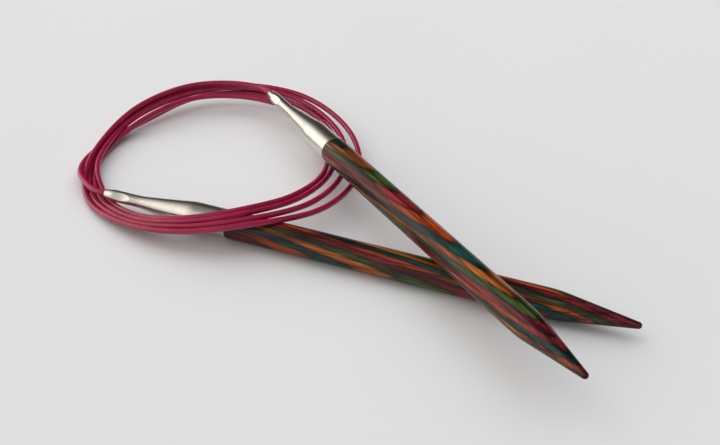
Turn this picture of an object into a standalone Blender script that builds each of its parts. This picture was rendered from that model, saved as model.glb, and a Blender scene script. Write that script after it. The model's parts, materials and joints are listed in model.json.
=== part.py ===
"""Fixed circular knitting needle, 6 mm size and 100 cm from tip to tip.

Two tips of laminated, dyed birch sit in turned, nickel-plated brass ferrules.
One nylon cable joins the ferrules and is wound into a loose, warped ring.
Needle A lies on the table under the ring's front. Needle B lies across it.
Each needle is built along its own +Z, with its cable mouth at z = 0.
"""
from math import atan2, ceil, cos, hypot, pi, radians, sin, tan

import bpy
from mathutils import Matrix, Vector

MM = 0.001

# Driving dimensions.
SIZE = 6.0 * MM  # the needle size, which is the shaft's diameter
LENGTH = 115.0 * MM  # of one needle, from cable mouth to tip
CABLE = 1.25 * MM  # the cable's diameter
GAP = 0.3 * MM  # between neighbouring solids
GLUE_LINE = 0.2 * MM  # between two veneers
SHAFT_STEPS = 32  # facets round a needle; one of them faces straight down

# Ferrule, in distances from the cable mouth.
LIP_RADIUS = 1.05 * MM
NECK_RADIUS = 1.3 * MM
NECK_END = 9.0 * MM
CONE_END = 21.5 * MM
FERRULE_LENGTH = 29.6 * MM
BORE_RADIUS = 0.85 * MM
SOCKET_START = 21.3 * MM
SOCKET_RADIUS = 2.35 * MM
CRIMP_AT = 4.1 * MM
CRIMP_DEPTH = 0.2 * MM
CRIMP_RADIUS = 3.2 * MM

# Wooden tip.
TAPER_START = 98.8 * MM
POINT_RADIUS = 0.68 * MM
VENEER_PITCH = 10.0 * MM  # along the shaft, from one glue line to the next
VENEER_TILT = radians(5.35)  # of the glue lines to the shaft
THINNEST_VENEER = 0.6 * MM

# Where the cable flexes, just inside a ferrule's mouth.
PIVOT_DEPTH = 0.5 * MM
CABLE_END_RADIUS = BORE_RADIUS - GAP
CABLE_END_START = 1.5 * MM
CABLE_END_LENGTH = 8.0 * MM

# The cable's ring, a coil of four and a third turns. At angles round its centre, in
# degrees: its height over the table, and its inner and outer edges' radii, in mm.
RING_STEPS = 72
RING_CENTRE_FROM_A = Vector((16.75 * MM, 20.1 * MM))
RING_STATIONS = (
    (0, 3.7, 23.6, 32.2),
    (30, 3.5, 24.6, 31.9),
    (50, 3.5, 25.0, 31.9),
    (90, 4.2, 24.2, 31.5),
    (110, 4.3, 24.8, 31.3),
    (150, 2.8, 24.6, 31.0),
    (180, 1.4, 26.0, 30.0),
    (205, 0.75, 26.2, 29.6),
    (235, 0.75, 25.8, 30.2),
    (255, 2.6, 25.0, 30.2),
    (275, 5.2, 24.6, 30.8),
    (297, 7.0, 24.2, 31.2),
    (315, 7.25, 23.6, 31.0),
    (328, 7.1, 22.8, 30.4),
    (345, 5.0, 22.6, 31.4),
)

# The cable's free stretches, from each ferrule's mouth to the ring, in mm from the point
# on the table under needle A's mouth.
LEAD_A = (
    (-0.3, 0.0, 2.986),
    (-1.9, 0.03, 2.986),
    (-4.1, 0.75, 2.95),
    (-6.8, 2.5, 2.85),
    (-9.4, 4.9, 2.6),
    (-11.8, 7.9, 2.1),
    (-13.4, 11.0, 1.55),
    (-13.7, 13.0, 1.3),
)
LEAD_B = (
    (17.88, 44.94, 6.89),
    (16.25, 46.1, 6.84),
    (14.6, 46.75, 6.77),
    (11.9, 47.0, 6.65),
    (8.9, 46.95, 6.45),
    (5.4, 46.5, 6.2),
    (2.2, 45.6, 5.9),
)

# The two needles: mouth, direction and how far each is rolled about its axis.
FACET_TURN = 180.0 / SHAFT_STEPS
AXIS_HEIGHT = SIZE / 2 * cos(pi / SHAFT_STEPS)
A_MOUTH = Vector((-57.498 * MM, -10.018 * MM, AXIS_HEIGHT))
B_FROM_A = Vector((18.276 * MM, 44.636 * MM, 3.92 * MM))
B_YAW = -37.4
B_PITCH = 1.88

# Dyed veneers in the order in which they are glued.
VENEER_COLOURS = (
    ("maroon", (0.20, 0.02, 0.03, 1.0)),
    ("orange", (0.60, 0.20, 0.03, 1.0)),
    ("teal", (0.02, 0.10, 0.12, 1.0)),
    ("amber", (0.62, 0.24, 0.05, 1.0)),
    ("green", (0.05, 0.16, 0.06, 1.0)),
)
NICKEL = (0.68, 0.66, 0.61, 1.0)
NYLON = (0.36, 0.01, 0.07, 1.0)
BIRCH = (0.45, 0.25, 0.12, 1.0)


def clear_scene():
    for old in list(bpy.data.objects):
        bpy.data.objects.remove(old, do_unlink=True)


def collection(name):
    group = bpy.data.collections.new(name)
    bpy.context.scene.collection.children.link(group)
    return group


def material(name, colour, roughness, metallic=0.0):
    made = bpy.data.materials.new(name)
    made.use_nodes = True
    shader = made.node_tree.nodes["Principled BSDF"]
    shader.inputs["Base Color"].default_value = colour
    shader.inputs["Roughness"].default_value = roughness
    shader.inputs["Metallic"].default_value = metallic
    return made


def add(name, data, group, parent=None, look=None):
    made = bpy.data.objects.new(name, data)
    group.objects.link(made)
    made.parent = parent
    if look:
        data.materials.append(look)
    return made


def take(name, group, parent=None, look=None):
    """Names and files the primitive that was just added."""
    made = bpy.context.object
    for other in list(made.users_collection):
        other.objects.unlink(made)
    group.objects.link(made)
    made.name = name
    made.data.name = name
    made.parent = parent
    if look:
        made.data.materials.append(look)
    return made


def guide(made):
    made.hide_render = True
    made.display_type = "WIRE"
    return made


def turned(name, profile, closed, group, parent, look):
    """A solid turned about Z from (radius, height) points, outer side downwards."""
    data = bpy.data.meshes.new(name)
    points = [(radius, 0.0, height) for radius, height in profile]
    edges = [(i, i + 1) for i in range(len(points) - 1)]
    if closed:
        edges.append((len(points) - 1, 0))
    data.from_pydata(points, edges, [])
    made = add(name, data, group, parent, look)
    screw = made.modifiers.new("Turn", "SCREW")
    screw.axis = "Z"
    screw.steps = SHAFT_STEPS
    screw.render_steps = SHAFT_STEPS
    screw.use_merge_vertices = True
    screw.merge_threshold = 0.01 * MM
    screw.use_smooth_shade = True
    return made


def boolean(made, other, operation):
    cut = made.modifiers.new("Cut", "BOOLEAN")
    cut.operation = operation
    cut.solver = "EXACT"
    cut.object = other


def wood_profile():
    """The wooden tip's outer line, from its point down to the ferrule."""
    slope = atan2(SIZE / 2 - POINT_RADIUS, LENGTH - TAPER_START)
    centre = LENGTH - POINT_RADIUS
    points = []
    arc_steps = 4
    for i in range(arc_steps + 1):
        angle = pi / 2 - (pi / 2 - slope) * i / arc_steps
        points.append((POINT_RADIUS * cos(angle), centre + POINT_RADIUS * sin(angle)))
    points.append((SIZE / 2 - 0.12 * MM, TAPER_START + 0.9 * MM))
    points.append((SIZE / 2, TAPER_START - 0.6 * MM))
    points.append((SIZE / 2, FERRULE_LENGTH + GAP))
    points.append((0.0, FERRULE_LENGTH + GAP))
    return points


def ferrule_profile():
    """The ferrule's closed section: outer side downwards, then up its bores."""
    outer = [
        (SIZE / 2, FERRULE_LENGTH),
        (SIZE / 2, CONE_END + 0.5 * MM),
        (SIZE / 2 - 0.12 * MM, CONE_END - 0.7 * MM),
        (1.85 * MM, 13.0 * MM),
        (1.5 * MM, NECK_END + 1.0 * MM),
        (NECK_RADIUS + 0.05 * MM, NECK_END - 1.5 * MM),
        (NECK_RADIUS, CRIMP_AT + 1.9 * MM),
        (NECK_RADIUS, CRIMP_AT - 1.9 * MM),
        (NECK_RADIUS - 0.02 * MM, 1.0 * MM),
        (NECK_RADIUS - 0.1 * MM, 0.3 * MM),
        (LIP_RADIUS, 0.0),
    ]
    inner = [
        (BORE_RADIUS, 0.0),
        (BORE_RADIUS, SOCKET_START - 1.0 * MM),
        (SOCKET_RADIUS, SOCKET_START),
        (SOCKET_RADIUS, FERRULE_LENGTH),
    ]
    return outer + inner


def crimp_cutter(name, parent, group):
    """Two rollers that press a shallow dent into opposite sides of the neck."""
    reach = NECK_RADIUS - CRIMP_DEPTH + CRIMP_RADIUS
    rollers = []
    for side in (1, -1):
        bpy.ops.mesh.primitive_cylinder_add(
            vertices=48,
            radius=CRIMP_RADIUS,
            depth=4 * MM,
            location=(side * reach, 0, CRIMP_AT),
            rotation=(pi / 2, 0, 0),
        )
        roller = take(name, group)
        roller.data.transform(roller.matrix_basis)
        roller.matrix_basis = Matrix()
        rollers.append(roller)
    with bpy.context.temp_override(active_object=rollers[0], selected_editable_objects=rollers):
        bpy.ops.object.join()
    rollers[0].parent = parent
    return guide(rollers[0])


def veneer_planes(maroon_ends):
    """The glue lines, as distances along the shaft where each meets its high side."""
    reach = SIZE / tan(VENEER_TILT)
    first = FERRULE_LENGTH + GAP
    last = TAPER_START + reach
    count = ceil((maroon_ends - first) / VENEER_PITCH)
    start = maroon_ends - count * VENEER_PITCH
    lines = []
    while start + len(lines) * VENEER_PITCH < last:
        lines.append(start + len(lines) * VENEER_PITCH)
    if (last - lines[-1]) * sin(VENEER_TILT) < THINNEST_VENEER:
        lines.pop()
    lines.append(last + VENEER_PITCH)
    colour_of_first = (1 - count) % len(VENEER_COLOURS)
    if (lines[1] - first) * sin(VENEER_TILT) < THINNEST_VENEER:
        lines[0:2] = lines[0:1]
        colour_of_first = (colour_of_first + 1) % len(VENEER_COLOURS)
    return lines, colour_of_first


def veneers(tag, blank, parent, group, high_side, maroon_ends):
    """Cuts the turned blank into its dyed veneers, one solid each."""
    lines, colour = veneer_planes(maroon_ends)
    lean = Vector((cos(high_side), sin(high_side), 0))
    along = Vector((0, 0, 1))
    normal = along * sin(VENEER_TILT) - lean * cos(VENEER_TILT)
    run = along * cos(VENEER_TILT) + lean * sin(VENEER_TILT)
    across = normal.cross(run)
    frame = Matrix((run, across, normal)).transposed()
    edge = SIZE / 2 * cos(VENEER_TILT)
    for i in range(len(lines) - 1):
        low = lines[i] * sin(VENEER_TILT) - edge
        high = lines[i + 1] * sin(VENEER_TILT) - edge - GLUE_LINE
        middle = (low + high) / 2
        dye, rgba = VENEER_COLOURS[(colour + i) % len(VENEER_COLOURS)]
        bpy.ops.mesh.primitive_cube_add(size=1)
        name = f"veneer_{tag}_{i + 1:02d}_{dye}"
        slab = take(name, group, look=material(name, rgba, 0.25))
        box = Matrix.Diagonal((100 * MM, 2 * SIZE, high - low, 1))
        place = Matrix.Translation(along * middle / sin(VENEER_TILT)) @ frame.to_4x4()
        slab.data.transform(place @ box)
        slab.parent = parent
        boolean(slab, blank, "INTERSECT")


def needle(tag, mouth, yaw, pitch, high_side, maroon_ends, group, cutters):
    """One needle under an empty at the point where the cable flexes."""
    stand = bpy.data.objects.new(f"needle_{tag}_axis", None)
    group.objects.link(stand)
    turn = Matrix.Rotation(radians(yaw), 4, "Z") @ Matrix.Rotation(radians(90 - pitch), 4, "Y")
    stand.matrix_world = Matrix.Translation(mouth) @ turn
    spin = bpy.data.objects.new(f"needle_{tag}_roll", None)
    group.objects.link(spin)
    spin.parent = stand
    spin.matrix_local = Matrix.Rotation(radians(FACET_TURN), 4, "Z")
    nickel = material(f"nickel_{tag}", NICKEL, 0.22, 1.0)
    ferrule = turned(f"ferrule_{tag}", ferrule_profile(), True, group, spin, nickel)
    boolean(ferrule, crimp_cutter(f"crimp_rollers_{tag}", spin, cutters), "DIFFERENCE")
    blank = turned(f"shaft_blank_{tag}", wood_profile(), False, cutters, spin, None)
    guide(blank)
    spot = high_side - radians(FACET_TURN)
    veneers(tag, blank, spin, group, spot, maroon_ends)
    tenon_length = FERRULE_LENGTH - SOCKET_START - GAP
    bpy.ops.mesh.primitive_cylinder_add(
        vertices=SHAFT_STEPS, radius=SOCKET_RADIUS - GAP, depth=tenon_length
    )
    tenon = take(f"wooden_tenon_{tag}", group, spin, material(f"birch_{tag}", BIRCH, 0.6))
    tenon.location = (0, 0, FERRULE_LENGTH - tenon_length / 2)
    bpy.ops.mesh.primitive_cylinder_add(
        vertices=12, radius=CABLE_END_RADIUS, depth=CABLE_END_LENGTH
    )
    end = take(f"cable_end_{tag}", group, stand, material(f"nylon_end_{tag}", NYLON, 0.4))
    end.location = (0, 0, CABLE_END_START + CABLE_END_LENGTH / 2)
    return stand


def ring_section(angle):
    """The ring's height, inner and outer radius at an angle in degrees, eased between stations."""
    angle = angle % 360
    stations = RING_STATIONS + ((360, *RING_STATIONS[0][1:]),)
    for (start, *low), (end, *high) in zip(stations, stations[1:]):
        if start <= angle <= end:
            step = (angle - start) / (end - start)
            ease = (3 - 2 * step) * step * step
            return [(p + (q - p) * ease) * MM for p, q in zip(low, high)]
    return [0.0, 0.0, 0.0]


def cable_coil(group, centre, look):
    """The coiled turns as one ring, one turn thick, warped to pass over needle A."""
    middle = 28 * MM
    bpy.ops.mesh.primitive_torus_add(
        major_segments=RING_STEPS,
        minor_segments=10,
        major_radius=middle,
        minor_radius=CABLE / 2,
    )
    ring = take("cable_coil", group, look=look)
    for vertex in ring.data.vertices:
        x, y, z = vertex.co
        reach = hypot(x, y)
        height, inner, outer = ring_section(atan2(y, x) * 180 / pi)
        wide = (inner + outer) / 2 + (reach - middle) * (outer - inner) / CABLE
        vertex.co = (x * wide / reach, y * wide / reach, z + height)
    ring.location = (centre.x, centre.y, 0)
    return ring


def spaced(points, spacing):
    """Points at an even spacing on the smooth curve through the route's own points."""
    path = [Vector(p) for p in points]
    ends = [2 * path[0] - path[1]] + path + [2 * path[-1] - path[-2]]
    fine = []
    for a, b, c, d in zip(ends, ends[1:], ends[2:], ends[3:]):
        for i in range(20):
            t = i / 20
            fine.append(
                (2 * b + (c - a) * t + (2 * a - 5 * b + 4 * c - d) * t**2
                 + (3 * b - a - 3 * c + d) * t**3) / 2
            )
    fine.append(path[-1])
    total = sum((q - p).length for p, q in zip(fine, fine[1:]))
    count = round(total / spacing)
    made = [fine[0]]
    walked = 0.0
    for p, q in zip(fine, fine[1:]):
        step = (q - p).length
        while step and walked + step >= len(made) * total / count and len(made) < count:
            made.append(p + (q - p) * ((len(made) * total / count - walked) / step))
        walked += step
    made.append(fine[-1])
    return made


def cable_lead(name, points, group, look):
    """A free stretch of the cable, as a tube on its smooth route."""
    data = bpy.data.curves.new(name, "CURVE")
    data.dimensions = "3D"
    data.bevel_depth = CABLE / 2
    data.bevel_resolution = 2
    data.use_fill_caps = True
    route = spaced(points, 2 * CABLE)
    spline = data.splines.new("POLY")
    spline.points.add(len(route) - 1)
    for point, place in zip(spline.points, route):
        point.co = (*place, 1)
    return add(name, data, group, look=look)


def build():
    clear_scene()
    group = collection("circular_knitting_needle")
    cutters = collection("cutters")
    needle("a", A_MOUTH, 0.0, 0.0, radians(-65), 38.9 * MM, group, cutters)
    b_mouth = A_MOUTH + B_FROM_A
    stand_b = needle("b", b_mouth, B_YAW, B_PITCH, radians(166), 64.9 * MM, group, cutters)
    nylon = material("magenta_nylon", NYLON, 0.4)
    bpy.context.view_layer.update()
    b_axis = stand_b.matrix_world.to_3x3() @ Vector((0, 0, 1))
    neck_at = b_mouth + b_axis * PIVOT_DEPTH
    bpy.ops.mesh.primitive_uv_sphere_add(
        segments=12, ring_count=8, radius=CABLE_END_RADIUS, location=neck_at
    )
    take("cable_neck_b", group, look=material("nylon_neck_b", NYLON, 0.4))
    centre = A_MOUTH.xy + RING_CENTRE_FROM_A
    cable_coil(group, centre, nylon)
    for name, route in (("cable_lead_a", LEAD_A), ("cable_lead_b", LEAD_B)):
        points = [(A_MOUTH.x + x * MM, A_MOUTH.y + y * MM, z * MM) for x, y, z in route]
        cable_lead(name, points, group, material(name, NYLON, 0.4))


build()
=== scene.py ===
import json
from math import cos, pi, radians, sin, tan

import bmesh
import bpy
import numpy as np
from mathutils import Matrix, Vector


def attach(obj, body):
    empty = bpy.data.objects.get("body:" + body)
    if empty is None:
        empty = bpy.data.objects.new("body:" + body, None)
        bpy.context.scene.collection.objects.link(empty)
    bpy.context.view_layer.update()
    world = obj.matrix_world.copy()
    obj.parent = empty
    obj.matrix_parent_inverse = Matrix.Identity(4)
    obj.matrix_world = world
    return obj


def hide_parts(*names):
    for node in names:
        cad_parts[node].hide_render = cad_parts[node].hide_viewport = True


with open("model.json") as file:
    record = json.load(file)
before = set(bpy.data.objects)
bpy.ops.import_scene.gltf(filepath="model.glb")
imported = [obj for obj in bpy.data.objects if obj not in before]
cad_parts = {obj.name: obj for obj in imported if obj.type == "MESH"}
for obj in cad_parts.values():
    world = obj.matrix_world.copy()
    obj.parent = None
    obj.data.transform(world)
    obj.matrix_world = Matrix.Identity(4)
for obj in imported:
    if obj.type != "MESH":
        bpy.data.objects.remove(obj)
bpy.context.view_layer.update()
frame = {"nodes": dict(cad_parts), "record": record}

MM = 0.001
UP = Vector((0, 0, 1))
OWN_PLACE = "own_place"

# The needles: sizes from the mouth of the ferrule along the needle, in millimetres.
NEEDLE_RADIUS = 3.0
NEEDLE_LENGTH = 115.0
FERRULE_END = 29.6
SEAM = 0.06
TENON_RADIUS = 2.05
TENON_START = 21.7
SOCKET_RADIUS = 2.35
SOCKET_START = 21.3
BORE_RADIUS = 0.72
BORE_END = 9.7
CRIMP_AT = 4.1
CRIMP_REACH = 1.03
CRIMP_CURVE = 9.0
CRIMP_START = 0.5
CRIMP_END = 8.0
LEAST_OUTER_RADIUS = 1.1  # the ferrule's lip and the cable's bore are narrower than this
TIP_RADIUS = 0.68
# The ferrule's outside: place from the mouth, and radius there.
FERRULE_OUTLINE = (
    (0.2, 0.965),
    (0.7, 1.05),
    (1.5, 1.18),
    (2.5, 1.27),
    (4.0, 1.3),
    (6.5, 1.3),
    (8.5, 1.34),
    (10.5, 1.53),
    (12.8, 1.83),
    (16.0, 2.25),
    (18.3, 2.57),
    (19.9, 2.80),
    (20.8, 2.92),
    (21.8, 2.985),
    (23.0, 3.0),
    (24.5, 3.0),
    (27.0, 3.0),
    (29.5, 3.0),
)
OUTLINE_SPACING = 0.25
TAPER_SLOPE = 0.148
TAPER_BLEND = 0.1
TAPER_FROM = 94.0
TAPER_STEPS = 44
LATHE_STEPS = 96
SHARP_EDGE = radians(40)

# The laminated wood: glued plies that lie at a small angle to the needle.
PLY_PITCH = 10.0
PLY_TILT = radians(5.35)
POINT_DYES_START = 99.0
POINT_DYES_BLEND = 4.0
DYES = 5

# The cable.
CABLE_DIAMETER = 1.25
CABLE_GAP = 0.02
ROUTE_SPACING = 0.8
ROUTE_FINE_POINTS = 6000
# The cable narrows at needle B's mouth, so that the ferrule clears it when it is lifted.
CABLE_END_SHARE = 0.5
CABLE_END_TAPER = 1.8
# How the turns are parted. Lengths are in millimetres.
SAME_STRAND = 8
NEARBY = 4
HELD_IN_A = 11
HELD_IN_B = 6
SMOOTHING_REACH = 7
SMOOTHING_WIDTH = 2.4
SETTLE_ROUNDS = 70
SMOOTHED_ROUNDS = 60
PUSHES_EACH_ROUND = 4
PUSH_FACTOR = 1.5
LEAST_HEIGHT = CABLE_DIAMETER / 2 + 0.01
COIL_CENTRE_FROM_A = Vector((16.75, 20.1, 0))

# The joints give both needles' places: each turns about its own axis.
joints = {joint["name"]: joint for joint in frame["record"]["behaviour"]["joints"]}
A_MOUTH = Vector(joints["needle_a_roll"]["pos_m"])
A_AXIS = Vector(joints["needle_a_roll"]["axis"]).normalized()
B_PIVOT = Vector(joints["needle_b_roll"]["pos_m"])
B_AXIS = Vector(joints["needle_b_roll"]["axis"]).normalized()
PIVOT_DEPTH = 0.5
B_MOUTH = B_PIVOT - PIVOT_DEPTH * MM * B_AXIS
A_GROUND = Vector((A_MOUTH.x, A_MOUTH.y, 0))


# ---------------------------------------------------------------- node helpers


def new_material(name):
    """An empty node material: its tree and its Principled BSDF."""
    material = bpy.data.materials.new(name)
    material.use_nodes = True
    tree = material.node_tree
    return material, tree, tree.nodes["Principled BSDF"]


def node(tree, kind, **values):
    """A new shader node. Values are its properties, or else its input sockets."""
    made = tree.nodes.new("ShaderNode" + kind)
    for key, value in values.items():
        if hasattr(made, key):
            setattr(made, key, value)
        else:
            made.inputs[key.replace("_", " ")].default_value = value
    return made


def math_node(tree, operation, first, second=0.0, third=0.0):
    """A Math node's output. An input is a number or another node's output."""
    made = tree.nodes.new("ShaderNodeMath")
    made.operation = operation
    for socket, value in zip(made.inputs, (first, second, third)):
        if isinstance(value, (int, float)):
            socket.default_value = value
        else:
            tree.links.new(value, socket)
    return made.outputs[0]


def mix(tree, factor, first, second, blend_type="MIX"):
    """A colour Mix node's output. Colours are tuples or outputs."""
    made = tree.nodes.new("ShaderNodeMix")
    made.data_type = "RGBA"
    made.blend_type = blend_type
    for index, value in ((0, factor), (6, first), (7, second)):
        if isinstance(value, (int, float, tuple)):
            made.inputs[index].default_value = value
        else:
            tree.links.new(value, made.inputs[index])
    return made.outputs[2]


def ramp(tree, factor, stops, interpolation="LINEAR"):
    """A Color Ramp's colour. stops are (place, (r, g, b)) pairs."""
    made = tree.nodes.new("ShaderNodeValToRGB")
    made.color_ramp.interpolation = interpolation
    elements = made.color_ramp.elements
    while len(elements) > 1:
        elements.remove(elements[-1])
    elements[0].position = stops[0][0]
    elements[0].color = (*stops[0][1], 1)
    for place, colour in stops[1:]:
        elements.new(place).color = (*colour, 1)
    tree.links.new(factor, made.inputs[0])
    return made.outputs[0]


def own_place(tree, turned_piece):
    """Coordinates in metres: a turned piece's own, kept on its mesh, or else the object's."""
    if turned_piece:
        return node(tree, "Attribute", attribute_name=OWN_PLACE).outputs["Vector"]
    return node(tree, "TexCoord").outputs["Object"]


def scaled_place(tree, scale, turned_piece=True):
    """A piece's coordinates, stretched by a scale for each axis, in units of 1 / metre."""
    mapping = node(tree, "Mapping")
    mapping.inputs["Scale"].default_value = scale
    tree.links.new(own_place(tree, turned_piece), mapping.inputs["Vector"])
    return mapping.outputs[0]


def noise(tree, place, detail=3.0, roughness=0.55):
    """A noise texture's grey output, about 0.5 on average."""
    made = node(tree, "TexNoise", Scale=1.0, Detail=detail, Roughness=roughness)
    tree.links.new(place, made.inputs["Vector"])
    return made.outputs[0]


def bump(tree, shader, height, strength, distance):
    """A bump on a shader's normal, with its depth in millimetres."""
    made = node(tree, "Bump", Strength=strength, Distance=distance * MM)
    tree.links.new(height, made.inputs["Height"])
    tree.links.new(made.outputs[0], shader.inputs["Normal"])


# ---------------------------------------------------------------- materials


def laminated_wood(name, maroon_ends):
    """Dyed birch plies under lacquer. The plies are flat sheets, so each comes out as a long flame.

    In the needle's own coordinates +Z runs along it from the mouth and +X is its high side, where
    the maroon ply ends maroon_ends millimetres from the mouth.
    """
    material, tree, shader = new_material(name)
    parts = node(tree, "SeparateXYZ")
    tree.links.new(own_place(tree, True), parts.inputs[0])
    along = math_node(tree, "MULTIPLY", parts.outputs[2], 1 / MM)
    height = math_node(tree, "MULTIPLY", parts.outputs[0], 1 / MM)
    fibre = noise(tree, scaled_place(tree, (1500, 1500, 60)), 4.0, 0.65)
    wave = noise(tree, scaled_place(tree, (300, 300, 40)), 2.0)
    drop = math_node(tree, "SUBTRACT", NEEDLE_RADIUS, height)
    plane = math_node(tree, "MULTIPLY_ADD", drop, 1 / tan(PLY_TILT), along)
    count = math_node(tree, "MULTIPLY_ADD", plane, 1 / PLY_PITCH, -maroon_ends / PLY_PITCH + 1)
    wavy = math_node(tree, "MULTIPLY_ADD", math_node(tree, "SUBTRACT", wave, 0.5), 0.9, count)
    torn = math_node(tree, "MULTIPLY_ADD", math_node(tree, "SUBTRACT", fibre, 0.5), 0.8, wavy)
    cycle = math_node(tree, "FRACT", math_node(tree, "MULTIPLY", torn, 1 / DYES))
    dyes = (
        (0.0, (0.20, 0.0095, 0.020)),
        (0.2, (0.31, 0.041, 0.0050)),
        (0.4, (0.0055, 0.039, 0.038)),
        (0.6, (0.30, 0.078, 0.0085)),
        (0.8, (0.045, 0.070, 0.0130)),
    )
    # Towards the point the deeper plies come through, where the orange ones are nearly maroon.
    point_dyes = (
        (0.0, (0.18, 0.0085, 0.018)),
        (0.2, (0.19, 0.0110, 0.017)),
        (0.4, (0.0045, 0.032, 0.036)),
        (0.6, (0.26, 0.036, 0.0080)),
        (0.8, (0.034, 0.056, 0.0095)),
    )
    near_point = node(tree, "MapRange", interpolation_type="SMOOTHSTEP")
    near_point.inputs["From Min"].default_value = POINT_DYES_START
    near_point.inputs["From Max"].default_value = POINT_DYES_START + POINT_DYES_BLEND
    tree.links.new(along, near_point.inputs["Value"])
    shaft_dye = ramp(tree, cycle, dyes, "CONSTANT")
    dyed = mix(tree, near_point.outputs[0], shaft_dye, ramp(tree, cycle, point_dyes, "CONSTANT"))
    # Each ply takes its dye unevenly: broad clouds, fine fibres and dark vessels along the grain.
    cloud = noise(tree, scaled_place(tree, (420, 420, 55)), 3.0, 0.6)
    clouds = ramp(tree, cloud, ((0.38, (0.30, 0.27, 0.25)), (0.54, (1, 1, 1)), (0.66, (1.2, 1.3, 1.25))))
    clouded = mix(tree, 1.0, dyed, clouds, "MULTIPLY")
    streak = noise(tree, scaled_place(tree, (1300, 1300, 45)), 4.0, 0.7)
    streak_stops = (
        (0.37, (0.24, 0.20, 0.18)),
        (0.46, (0.62, 0.56, 0.53)),
        (0.54, (1.0, 1.0, 1.0)),
        (0.64, (1.6, 1.75, 1.6)),
    )
    streaked = mix(tree, 1.0, clouded, ramp(tree, streak, streak_stops), "MULTIPLY")
    vessel = noise(tree, scaled_place(tree, (3400, 3400, 100)), 2.0, 0.5)
    pores = ramp(tree, vessel, ((0.36, (0.2, 0.18, 0.17)), (0.44, (1, 1, 1))))
    grained = mix(tree, 0.85, streaked, pores, "MULTIPLY")
    # The dyes run together at a ply's edges, and a dark line of glue lies between two plies.
    step = math_node(tree, "FRACT", torn)
    edge = math_node(tree, "ABSOLUTE", math_node(tree, "SUBTRACT", step, 0.5))
    edge_stops = ((0.24, (1, 1, 1)), (0.42, (0.55, 0.52, 0.5)), (0.5, (0.12, 0.11, 0.10)))
    shaded = mix(tree, 1.0, grained, ramp(tree, edge, edge_stops), "MULTIPLY")
    tree.links.new(shaded, shader.inputs["Base Color"])
    shader.inputs["Roughness"].default_value = 0.5
    shader.inputs["Specular IOR Level"].default_value = 0.1
    shader.inputs["Coat Weight"].default_value = 0.45
    shader.inputs["Coat Roughness"].default_value = 0.22
    bump(tree, shader, fibre, 0.15, 0.02)
    return material


def ferrule_metal():
    """Nickel-plated brass, turned and polished: faint rings round the needle."""
    material, tree, shader = new_material("nickel_plate")
    rings = noise(tree, scaled_place(tree, (60, 60, 5200)), 2.0)
    cloud = noise(tree, scaled_place(tree, (420, 420, 260)), 3.0)
    tone = ramp(tree, cloud, ((0.3, (0.62, 0.60, 0.55)), (0.7, (0.72, 0.70, 0.65))))
    tree.links.new(tone, shader.inputs["Base Color"])
    shader.inputs["Metallic"].default_value = 1.0
    rough = math_node(tree, "MULTIPLY_ADD", rings, 0.10, 0.20)
    tree.links.new(rough, shader.inputs["Roughness"])
    bump(tree, shader, rings, 0.05, 0.005)
    return material


def cable_nylon():
    """Dyed nylon monofilament: a little light passes through, with a satin gloss."""
    material, tree, shader = new_material("cable_nylon")
    cloud = noise(tree, scaled_place(tree, (240, 240, 240), False), 2.0)
    tone = ramp(tree, cloud, ((0.3, (0.29, 0.005, 0.042)), (0.7, (0.39, 0.008, 0.066))))
    tree.links.new(tone, shader.inputs["Base Color"])
    fine = noise(tree, scaled_place(tree, (2400, 2400, 2400), False), 2.0)
    rough = math_node(tree, "MULTIPLY_ADD", fine, 0.10, 0.20)
    tree.links.new(rough, shader.inputs["Roughness"])
    shader.inputs["Subsurface Weight"].default_value = 0.2
    shader.inputs["Subsurface Radius"].default_value = (1.0, 0.25, 0.35)
    shader.inputs["Subsurface Scale"].default_value = 0.4 * MM
    shader.inputs["IOR"].default_value = 1.53
    shader.inputs["Specular IOR Level"].default_value = 0.3
    shader.inputs["Coat Weight"].default_value = 0.45
    shader.inputs["Coat Roughness"].default_value = 0.1
    bump(tree, shader, fine, 0.04, 0.005)
    return material


def table_paper():
    """A pale, matt table."""
    material, tree, shader = new_material("table_paper")
    cloud = noise(tree, scaled_place(tree, (9, 9, 9), False), 2.0)
    tone = ramp(tree, cloud, ((0.3, (0.78, 0.78, 0.785)), (0.7, (0.80, 0.80, 0.805))))
    tree.links.new(tone, shader.inputs["Base Color"])
    shader.inputs["Roughness"].default_value = 0.7
    return material


# ---------------------------------------------------------------- needles


def crimped(radius, along, turn):
    """The ferrule's radius where its crimp presses it in, on two opposite sides."""
    reach = CRIMP_REACH + (along - CRIMP_AT) ** 2 / (2 * CRIMP_CURVE)
    side = abs(cos(turn))
    if radius * side <= reach:
        return radius
    return reach / side


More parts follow.
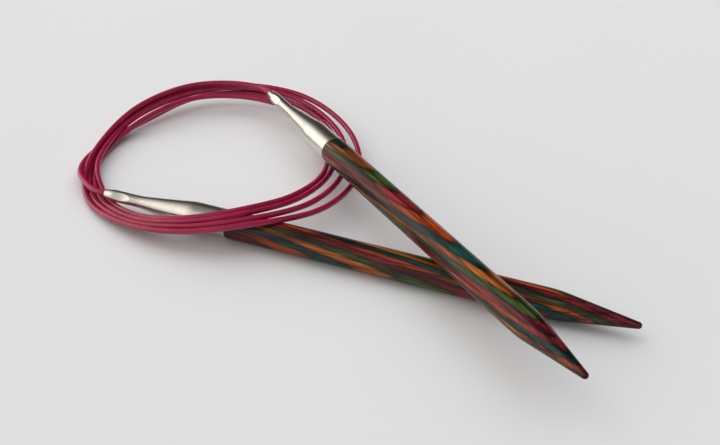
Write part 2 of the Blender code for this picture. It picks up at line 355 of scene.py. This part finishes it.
def lathe(name, profile, material, place, shape=None):
    """A closed turned mesh from (radius, place along) points, on the axis at both ends.

    place puts the piece's own +Z on the needle. Its mesh keeps its own coordinates for its material.
    shape(radius, along, angle) may change the radius round the turn.
    """
    mesh = bmesh.new()
    rings = []
    for radius, along in profile:
        if radius == 0:
            rings.append([mesh.verts.new((0, 0, along * MM))])
            continue
        ring = []
        for i in range(LATHE_STEPS):
            turn = 2 * pi * i / LATHE_STEPS
            here = shape(radius, along, turn) if shape else radius
            ring.append(mesh.verts.new((here * cos(turn) * MM, here * sin(turn) * MM, along * MM)))
        rings.append(ring)
    for low, high in zip(rings, rings[1:]):
        for i in range(LATHE_STEPS):
            j = (i + 1) % LATHE_STEPS
            if len(low) == 1:
                mesh.faces.new((low[0], high[j], high[i]))
            elif len(high) == 1:
                mesh.faces.new((low[i], low[j], high[0]))
            else:
                mesh.faces.new((low[i], low[j], high[j], high[i]))
    bmesh.ops.recalc_face_normals(mesh, faces=mesh.faces)
    data = bpy.data.meshes.new(name)
    mesh.to_mesh(data)
    mesh.free()
    own = np.empty(len(data.vertices) * 3, dtype=np.float32)
    data.vertices.foreach_get("co", own)
    data.attributes.new(OWN_PLACE, "FLOAT_VECTOR", "POINT").data.foreach_set("vector", own)
    data.transform(place)
    data.shade_smooth()
    data.set_sharp_from_angle(angle=SHARP_EDGE)
    data.materials.append(material)
    made = bpy.data.objects.new(name, data)
    bpy.context.scene.collection.objects.link(made)
    return made


def arc(centre_radius, centre_along, size, start, end, steps):
    """Points of a round edge in a profile. Angles in degrees from +radius towards +along."""
    points = []
    for i in range(steps + 1):
        turn = radians(start + (end - start) * i / steps)
        points.append((centre_radius + size * cos(turn), centre_along + size * sin(turn)))
    return points


def smooth_profile(outline, spacing):
    """Points along a turned outline's smooth curve, through its (place along, radius) pairs."""
    places, radii = (np.array(values) for values in zip(*outline))
    slopes = np.gradient(radii, places)
    points = []
    for k in range(len(places) - 1):
        span = places[k + 1] - places[k]
        steps = max(1, round(span / spacing))
        for i in range(steps):
            t = i / steps
            radius = (2 * t**3 - 3 * t**2 + 1) * radii[k] + (3 * t**2 - 2 * t**3) * radii[k + 1]
            radius += (t**3 - 2 * t**2 + t) * span * slopes[k] + (t**3 - t**2) * span * slopes[k + 1]
            points.append((float(radius), float(places[k] + t * span)))
    return points


def ferrule_profile():
    """The ferrule: bore, rolled lip, crimped neck, cone, body, and the socket for the wood."""
    points = [(0, BORE_END), (BORE_RADIUS, BORE_END), (BORE_RADIUS, 0.6), (0.84, 0.1)]
    points += arc(0.9, 0.06, 0.06, 180, 360, 6)
    points += smooth_profile(FERRULE_OUTLINE, OUTLINE_SPACING)
    points += arc(NEEDLE_RADIUS - 0.1, FERRULE_END - 0.1, 0.1, 0, 90, 4)
    points += [(SOCKET_RADIUS, FERRULE_END), (SOCKET_RADIUS, SOCKET_START), (0, SOCKET_START)]
    return points


def shaft_profile():
    """The wood: tenon, shoulder, straight shaft, taper and rounded point."""
    start = FERRULE_END + SEAM
    points = [(0, TENON_START), (TENON_RADIUS, TENON_START), (TENON_RADIUS, start)]
    points += arc(NEEDLE_RADIUS - 0.15, start + 0.1, 0.1, -90, 0, 3)
    points += [(NEEDLE_RADIUS - 0.02, start + 0.5), (NEEDLE_RADIUS, start + 1.2)]
    points += [(NEEDLE_RADIUS, 30 + 8 * i) for i in range(1, 9)]
    tip_centre = NEEDLE_LENGTH - TIP_RADIUS
    cone_end = tip_centre + TIP_RADIUS * TAPER_SLOPE
    for i in range(TAPER_STEPS + 1):
        along = TAPER_FROM + (cone_end - TAPER_FROM) * i / TAPER_STEPS
        cone = TIP_RADIUS + (cone_end - along) * TAPER_SLOPE
        # A smooth least of the shaft's radius and the cone's.
        soft = NEEDLE_RADIUS - TAPER_BLEND * np.logaddexp(0, (NEEDLE_RADIUS - cone) / TAPER_BLEND)
        points.append((float(soft), along))
    points += arc(0, tip_centre, TIP_RADIUS, 16, 80, 8)
    points.append((0, NEEDLE_LENGTH))
    return points


def needle_place(mouth, axis, high_side):
    """The matrix that puts a needle's own +Z along its axis and its +X towards its high side."""
    side = (high_side - high_side.dot(axis) * axis).normalized()
    turn = Matrix((side, axis.cross(side), axis)).transposed().to_4x4()
    return Matrix.Translation(mouth) @ turn


def needle(tag, mouth, axis, high_side, crimp_turn, maroon_ends, metal):
    """One needle: the ferrule and the wooden shaft, riding on the needle's body."""
    body = "needle_" + tag
    place = needle_place(mouth, axis, high_side)

    def shape(radius, along, turn):
        if CRIMP_START < along < CRIMP_END and radius > LEAST_OUTER_RADIUS:
            return crimped(radius, along, turn - crimp_turn)
        return radius

    ferrule = lathe("nickel_ferrule_" + tag, ferrule_profile(), metal, place, shape)
    wood = laminated_wood("laminated_wood_" + tag, maroon_ends)
    shaft = lathe("laminated_shaft_" + tag, shaft_profile(), wood, place)
    veneers = sorted(name for name in frame["nodes"] if name.startswith("veneer_" + tag))
    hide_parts("ferrule_" + tag)
    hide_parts("wooden_tenon_" + tag, *veneers)
    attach(ferrule, body)
    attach(shaft, body)


# ---------------------------------------------------------------- cable

# Out of needle A's ferrule: millimetres from the point on the table under its mouth.
LEAD_A = (
    (9.0, 0.0, 2.986),
    (4.0, 0.0, 2.986),
    (0.0, 0.0, 2.986),
    (-1.9, 0.03, 2.986),
    (-4.1, 0.75, 2.95),
    (-6.8, 2.5, 2.85),
    (-9.4, 4.9, 2.6),
)
# The coil, travelled clockwise: at these angles round its centre, the radius and height of each
# turn. It lies on the table at the left, over needle A in front, under needle B at the right.
# Scratch scripts fitted and printed this table: it isn't hand-chosen or worked out by a loop.
LANE_ANGLES = (205, 180, 155, 130, 105, 80, 45, 10, -20, -50, -80, -110, -135)
LANES = (
    (
        (30.4, 2.2),
        (29.2, 0.8),
        (27.2, 1.6),
        (28.0, 3.2),
        (29.3, 3.4),
        (28.6, 3.4),
        (27.2, 3.3),
        (25.5, 3.4),
        (25.0, 4.8),
        (26.0, 6.8),
        (25.7, 4.9),
        (26.1, 2.0),
        (27.2, 0.65),
    ),
    (
        (27.7, 0.8),
        (27.1, 1.6),
        (25.7, 3.5),
        (25.8, 4.5),
        (25.4, 4.5),
        (25.2, 4.2),
        (25.1, 3.7),
        (24.1, 3.4),
        (23.7, 5.0),
        (24.7, 6.9),
        (24.5, 4.9),
        (24.9, 1.9),
        (26.1, 0.65),
    ),
    (
        (27.2, 1.8),
        (27.3, 2.5),
        (28.5, 2.9),
        (29.3, 3.7),
        (29.4, 4.5),
        (29.2, 4.4),
        (28.7, 3.5),
        (28.3, 3.6),
        (28.3, 5.1),
        (28.2, 6.8),
        (26.9, 4.6),
        (27.3, 2.0),
        (28.4, 0.7),
    ),
    (
        (28.8, 0.7),
        (28.7, 1.9),
        (29.5, 3.1),
        (30.5, 3.8),
        (30.8, 4.4),
        (31.3, 4.3),
        (31.1, 3.6),
        (31.6, 3.6),
        (31.5, 5.1),
        (30.1, 6.8),
        (28.6, 4.6),
        (28.4, 2.1),
        (29.4, 0.65),
    ),
    ((29.2, 1.6), (28.5, 3.1), (29.5, 4.4), (30.3, 5.3)),
)
# Over the turns and into needle B's ferrule, in the same millimetres as LEAD_A.
LEAD_B = (
    (8.9, 46.95, 6.45),
    (11.9, 47.0, 6.65),
    (14.6, 46.75, 6.77),
    (16.25, 46.1, 6.84),
)


def from_a(point):
    """A place in the row frame from millimetres measured under needle A's mouth."""
    return A_GROUND + Vector(point) * MM


def cable_points():
    """The route's own points from inside needle A's ferrule to needle B's pivot, in metres."""
    points = [from_a(point) for point in LEAD_A]
    for turn in LANES:
        for angle, (radius, height) in zip(LANE_ANGLES, turn):
            x = COIL_CENTRE_FROM_A.x + radius * cos(radians(angle))
            y = COIL_CENTRE_FROM_A.y + radius * sin(radians(angle))
            points.append(from_a((x, y, height)))
    points += [from_a(point) for point in LEAD_B]
    points += [B_MOUTH, B_PIVOT]
    return np.array(points)


def smooth_route(points, spacing):
    """Evenly spaced points on a smooth curve through the given ones."""
    place = np.concatenate(([0], np.cumsum(np.linalg.norm(np.diff(points, axis=0), axis=1))))
    slope = np.gradient(points, place, axis=0)
    fine = np.linspace(0, place[-1], ROUTE_FINE_POINTS)
    k = np.clip(np.searchsorted(place, fine, side="right") - 1, 0, len(points) - 2)
    span = (place[k + 1] - place[k])[:, None]
    t = (fine - place[k])[:, None] / span
    curve = (2 * t**3 - 3 * t**2 + 1) * points[k] + (t**3 - 2 * t**2 + t) * span * slope[k]
    curve += (3 * t**2 - 2 * t**3) * points[k + 1] + (t**3 - t**2) * span * slope[k + 1]
    length = np.concatenate(([0], np.cumsum(np.linalg.norm(np.diff(curve, axis=0), axis=1))))
    even = np.linspace(0, length[-1], int(length[-1] / spacing) + 1)
    return np.stack([np.interp(even, length, curve[:, axis]) for axis in range(3)], axis=1)


def needle_push(route, mouth, axis, loose):
    """How far each loose point has to move to stay clear of a needle."""
    offset = route - np.array(mouth)
    along = offset @ np.array(axis)
    across = offset - np.outer(along, np.array(axis))
    away = np.linalg.norm(across, axis=1)
    outside = [(place, radius) for radius, place in ferrule_profile() if radius > LEAST_OUTER_RADIUS]
    outline = np.array(outside)
    outline = outline[outline[:, 0] < SOCKET_START]
    size = np.interp(along / MM, outline[:, 0], outline[:, 1]) * MM
    need = size + (CABLE_DIAMETER / 2 + CABLE_GAP) * MM
    near = loose & (along > 0) & (along < 100 * MM) & (away < need)
    push = np.zeros_like(route)
    push[near] = across[near] / away[near, None] * (need - away)[near, None]
    return push


def settle(route):
    """Moves the turns apart where they would pass through each other, a needle or the table."""
    clear = (CABLE_DIAMETER + CABLE_GAP) * MM
    count = len(route)
    apart = int(SAME_STRAND / ROUTE_SPACING)
    first, second = np.triu_indices(count, apart)
    close = np.linalg.norm(route[first] - route[second], axis=1) < NEARBY * MM
    first, second = first[close], second[close]
    start = route.copy()
    ends = int(HELD_IN_B / ROUTE_SPACING)
    inside = int(HELD_IN_A / ROUTE_SPACING)
    loose = np.ones(count, bool)
    loose[:inside] = False
    loose[-ends:] = False
    half = int(SMOOTHING_REACH / ROUTE_SPACING)
    window = np.exp(-0.5 * (np.arange(-half, half + 1) * ROUTE_SPACING / SMOOTHING_WIDTH) ** 2)
    window /= window.sum()
    for rounds in range(SETTLE_ROUNDS):
        for _ in range(PUSHES_EACH_ROUND):
            gap = route[first] - route[second]
            distance = np.linalg.norm(gap, axis=1)
            touching = distance < clear
            push = gap[touching] / distance[touching, None] * (clear - distance[touching])[:, None]
            total = np.zeros_like(route)
            shares = np.ones(count)
            for side, index in ((0.5, first[touching]), (-0.5, second[touching])):
                np.add.at(total, index, side * push)
                np.add.at(shares, index, 0.5)
            route = route + np.where(loose[:, None], total / shares[:, None] * PUSH_FACTOR, 0)
            route[:, 2] = np.maximum(route[:, 2], LEAST_HEIGHT * MM)
            route = route + needle_push(route, A_MOUTH, A_AXIS, loose)
            route = route + needle_push(route, B_MOUTH, B_AXIS, loose)
        if rounds < SMOOTHED_ROUNDS:
            moved = route - start
            padded = np.pad(moved, ((half, half), (0, 0)), mode="edge")
            for axis in range(3):
                moved[:, axis] = np.convolve(padded[:, axis], window, mode="valid")
            moved[~loose] = 0
            route = start + moved
    return route


def cable(nylon):
    """The one long cable, on the root body."""
    route = settle(smooth_route(cable_points(), ROUTE_SPACING * MM))
    data = bpy.data.curves.new("nylon_cable", "CURVE")
    data.dimensions = "3D"
    data.bevel_depth = CABLE_DIAMETER / 2 * MM
    data.bevel_resolution = 5
    data.use_fill_caps = True
    spline = data.splines.new("POLY")
    spline.points.add(len(route) - 1)
    from_end = np.arange(len(route))[::-1] * ROUTE_SPACING
    width = CABLE_END_SHARE + (1 - CABLE_END_SHARE) * from_end / CABLE_END_TAPER
    width = np.clip(width, 0, 1)
    for point, place, radius in zip(spline.points, route, width):
        point.co = (*place, 1)
        point.radius = radius
    data.materials.append(nylon)
    made = bpy.data.objects.new("nylon_cable", data)
    bpy.context.scene.collection.objects.link(made)
    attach(made, "cable")
    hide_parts("cable_coil", "cable_lead_a", "cable_lead_b", "cable_end_a")
    return route


# ---------------------------------------------------------------- table, light and camera


def table():
    """A pale floor, wide enough to fill the view."""
    bpy.ops.mesh.primitive_plane_add(size=3, location=(0, 0, 0))
    floor = bpy.context.object
    floor.name = "table"
    floor.data.materials.append(table_paper())


def area_light(name, towards, distance, size, power, colour=(1, 1, 1)):
    """A soft square light that faces the object from a direction."""
    data = bpy.data.lights.new(name, "AREA")
    data.size = size
    data.energy = power
    data.color = colour
    lamp = bpy.data.objects.new(name, data)
    direction = Vector(towards).normalized()
    lamp.location = direction * distance
    lamp.rotation_euler = direction.to_track_quat("Z", "Y").to_euler()
    bpy.context.scene.collection.objects.link(lamp)
    return lamp


def direction_share(tree, towards, low, high):
    """How far a world direction lies towards another: 0 at cosine low, 1 at cosine high."""
    coordinates = node(tree, "TexCoord")
    product = node(tree, "VectorMath", operation="DOT_PRODUCT")
    product.inputs[1].default_value = Vector(towards).normalized()
    tree.links.new(coordinates.outputs["Generated"], product.inputs[0])
    share = node(tree, "MapRange", interpolation_type="SMOOTHSTEP")
    share.inputs["From Min"].default_value = low
    share.inputs["From Max"].default_value = high
    tree.links.new(product.outputs["Value"], share.inputs["Value"])
    return share.outputs[0]


def world_light():
    """A grey room: a wide window low at the left, a softer one in front, a dark side behind."""
    world = bpy.data.worlds.new("studio")
    bpy.context.scene.world = world
    world.use_nodes = True
    tree = world.node_tree
    window = direction_share(tree, (-1, -0.15, 0.26), 0.62, 0.97)
    front = direction_share(tree, (-0.3, -0.78, 0.6), 0.68, 0.97)
    behind = direction_share(tree, (0.1, 1, 0.15), 0.45, 0.8)
    room = mix(tree, behind, (0.23, 0.232, 0.24, 1), (0.06, 0.05, 0.035, 1))
    lit = mix(tree, front, room, (0.72, 0.705, 0.67, 1))
    bright = mix(tree, window, lit, (1.75, 1.7, 1.56, 1))
    tree.links.new(bright, tree.nodes["Background"].inputs["Color"])


def lights():
    """Soft light from above and behind the object, in a grey room."""
    world_light()
    key = area_light("key", (-0.25, 0.6, 1.0), 1.6, 3.0, 34.5, (0.96, 0.962, 1))
    key.visible_glossy = False


def camera():
    """The photograph's view: from the front right, looking down at the table."""
    data = bpy.data.cameras.new("camera")
    data.sensor_width = 36
    data.lens = 59.5
    data.clip_start = 0.01
    made = bpy.data.objects.new("camera", data)
    right = Vector((0.92934, 0.36922, 0))
    forward = Vector((-0.29514, 0.74288, -0.60084))
    turn = Matrix((right, right.cross(forward), -forward)).transposed().to_4x4()
    made.matrix_world = Matrix.Translation(from_a((127.243, -172.825, 151.239))) @ turn
    bpy.context.scene.collection.objects.link(made)
    bpy.context.scene.camera = made


# ---------------------------------------------------------------- the scene

nylon = cable_nylon()
nickel = ferrule_metal()
across_b = UP.cross(B_AXIS).normalized()
upper_b = B_AXIS.cross(across_b)
needle("a", A_MOUTH, A_AXIS, Vector((0, -0.906, -0.423)), radians(-66), 38.9, nickel)
needle("b", B_MOUTH, B_AXIS, 0.2419 * across_b + 0.970 * upper_b, radians(64), 64.9, nickel)
cable(nylon)
for name in ("cable_neck_b", "cable_end_b"):
    frame["nodes"][name].data.materials.clear()
    frame["nodes"][name].data.materials.append(nylon)
table()
lights()
camera()
bpy.context.scene.view_settings.view_transform = "Standard"
